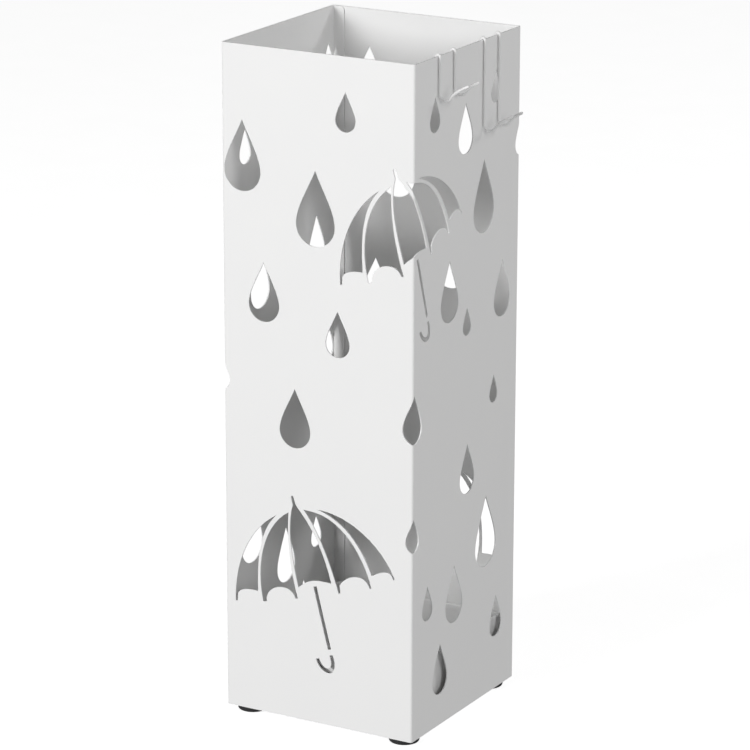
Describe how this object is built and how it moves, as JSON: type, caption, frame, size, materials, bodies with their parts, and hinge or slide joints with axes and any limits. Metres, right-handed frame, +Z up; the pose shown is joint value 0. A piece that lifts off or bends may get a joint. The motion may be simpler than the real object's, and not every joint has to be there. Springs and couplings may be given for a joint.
{
  "type": "umbrella stand",
  "caption": "Tall square umbrella stand folded from white sheet steel with raindrop and umbrella cut-outs, a lift-out drip tray and wire hooks over the rim.",
  "frame": {"origin": "at floor level, in the middle of the footprint that the column and its hooks cover", "axes": "+Z up, -Y out of the front wall, +X out of the right wall, where the hooks hang"},
  "size_m": [0.175, 0.153, 0.4954],
  "materials": {
    "white_paint": "satin powder coat",
    "black_rubber": "matt",
    "zinc": "bright zinc plate"
  },
  "bodies": {
    "stand": {"body_shell": "white_paint", "base_pan": "white_paint", "foot_front_left": "black_rubber", "foot_front_right": "black_rubber", "foot_back_right": "black_rubber", "foot_back_left": "black_rubber", "foot_washer_front_left": "zinc", "foot_washer_front_right": "zinc", "foot_washer_back_right": "zinc", "foot_washer_back_left": "zinc", "foot_screw_front_left": "zinc", "foot_screw_front_right": "zinc", "foot_screw_back_right": "zinc", "foot_screw_back_left": "zinc", "foot_nut_front_left": "zinc", "foot_nut_front_right": "zinc", "foot_nut_back_right": "zinc", "foot_nut_back_left": "zinc"},
    "tray": {"drip_tray": "white_paint"},
    "short_hook": {"hook_short": "white_paint"},
    "long_hook": {"hook_long": "white_paint"}
  },
  "joints": [
    {"name": "tray_lift", "type": "slide", "parent": "stand", "child": "tray", "axis": [0, 0, 1], "range_m": [0, 0.5]},
    {"name": "short_hook_lift", "type": "slide", "parent": "stand", "child": "short_hook", "axis": [0, 0, 1], "range_m": [0, 0.1]},
    {"name": "long_hook_lift", "type": "slide", "parent": "stand", "child": "long_hook", "axis": [0, 0, 1], "range_m": [0, 0.1]}
  ]
}
